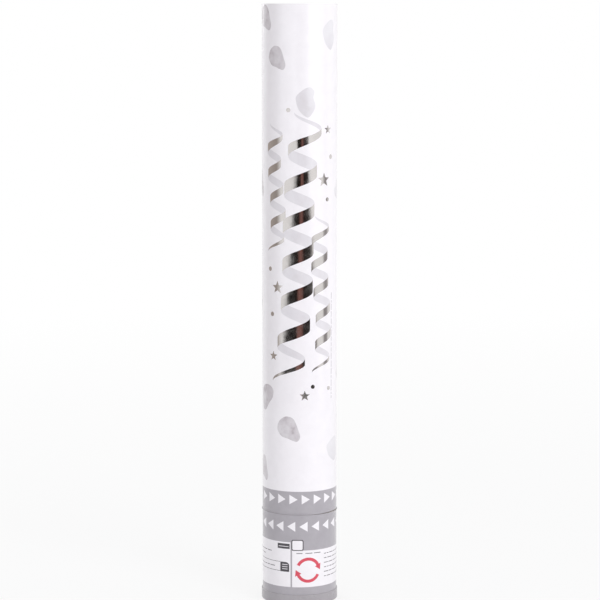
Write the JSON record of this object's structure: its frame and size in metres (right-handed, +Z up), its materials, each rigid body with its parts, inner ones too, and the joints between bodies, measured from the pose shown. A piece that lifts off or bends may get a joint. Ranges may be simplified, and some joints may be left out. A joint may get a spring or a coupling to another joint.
{
  "type": "confetti popper",
  "caption": "Hand-held confetti popper: a printed card barrel on a twist grip whose cam opens an air cylinder and shoots petals out past a foil-faced lid.",
  "frame": {"origin": "centre of the end cap's foot, on the surface that it stands on", "axes": "+Z up along the tube's axis towards the muzzle, -Y towards the front of the print"},
  "size_m": [0.0512, 0.0512, 0.4],
  "materials": {
    "card": "matte",
    "printed_paper": "satin",
    "grey_printed_paper": "satin",
    "grey_plastic": "satin",
    "white_plastic": "satin",
    "aluminium": "satin",
    "steel": "satin",
    "rubber": "matte",
    "foam": "matte",
    "tissue_petals": "matte",
    "silver_foil": "polished"
  },
  "bodies": {
    "barrel": {"barrel_tube": "card", "barrel_wrap": "printed_paper", "coupling_sleeve": "white_plastic", "cam_ring": "white_plastic", "bulkhead": "white_plastic", "valve_spring": "steel"},
    "grip": {"grip_tube": "card", "grip_wrap": "grey_printed_paper", "grip_collar": "white_plastic", "base_cap": "grey_plastic", "base_pad": "foam", "gas_cylinder": "aluminium", "neck_gasket": "rubber", "neck_bush": "white_plastic", "crimp_ferrule": "aluminium", "plug_guide": "white_plastic"},
    "valve": {"sealing_plug": "white_plastic", "plug_o_ring": "rubber", "cross_pin": "steel"},
    "wad": {"pusher_card": "card", "pusher_pad": "foam"},
    "petals_1": {"confetti_stack_1": "tissue_petals"},
    "petals_2": {"confetti_stack_2": "tissue_petals"},
    "petals_3": {"confetti_stack_3": "tissue_petals"},
    "petals_4": {"confetti_stack_4": "tissue_petals"},
    "lid": {"muzzle_lid": "card", "lid_foil": "silver_foil"}
  },
  "joints": [
    {"name": "grip_twist", "type": "hinge", "parent": "barrel", "child": "grip", "pos_m": [0, 0, 0.0616], "axis": [0, 0, -1], "range_deg": [0, 90]},
    {"name": "valve_lift", "type": "slide", "parent": "grip", "child": "valve", "axis": [0, 0, 1], "range_m": [0, 0.00601], "deforming": ["valve_spring"]},
    {"name": "launch", "type": "slide", "parent": "barrel", "child": "petals_1", "axis": [0, 0, 1], "range_m": [0, 0.235]},
    {"name": "wad_launch", "type": "slide", "parent": "barrel", "child": "wad", "axis": [0, 0, 1], "range_m": [0, 0.2233]},
    {"name": "petals_2_launch", "type": "slide", "parent": "barrel", "child": "petals_2", "axis": [0, 0, 1], "range_m": [0, 0.2492]},
    {"name": "petals_3_launch", "type": "slide", "parent": "barrel", "child": "petals_3", "axis": [0, 0, 1], "range_m": [0, 0.2633]},
    {"name": "petals_4_launch", "type": "slide", "parent": "barrel", "child": "petals_4", "axis": [0, 0, 1], "range_m": [0, 0.2774]},
    {"name": "lid_launch", "type": "slide", "parent": "barrel", "child": "lid", "axis": [0, 0, 1], "range_m": [0, 0.3056]}
  ],
  "couplings": [
    {"joint": "valve_lift", "follows": "grip_twist", "m_per_rad": 0.0038197},
    {"joint": "wad_launch", "follows": "launch", "ratio": 0.95},
    {"joint": "petals_2_launch", "follows": "launch", "ratio": 1.06},
    {"joint": "petals_3_launch", "follows": "launch", "ratio": 1.12},
    {"joint": "petals_4_launch", "follows": "launch", "ratio": 1.18},
    {"joint": "lid_launch", "follows": "launch", "ratio": 1.3}
  ]
}
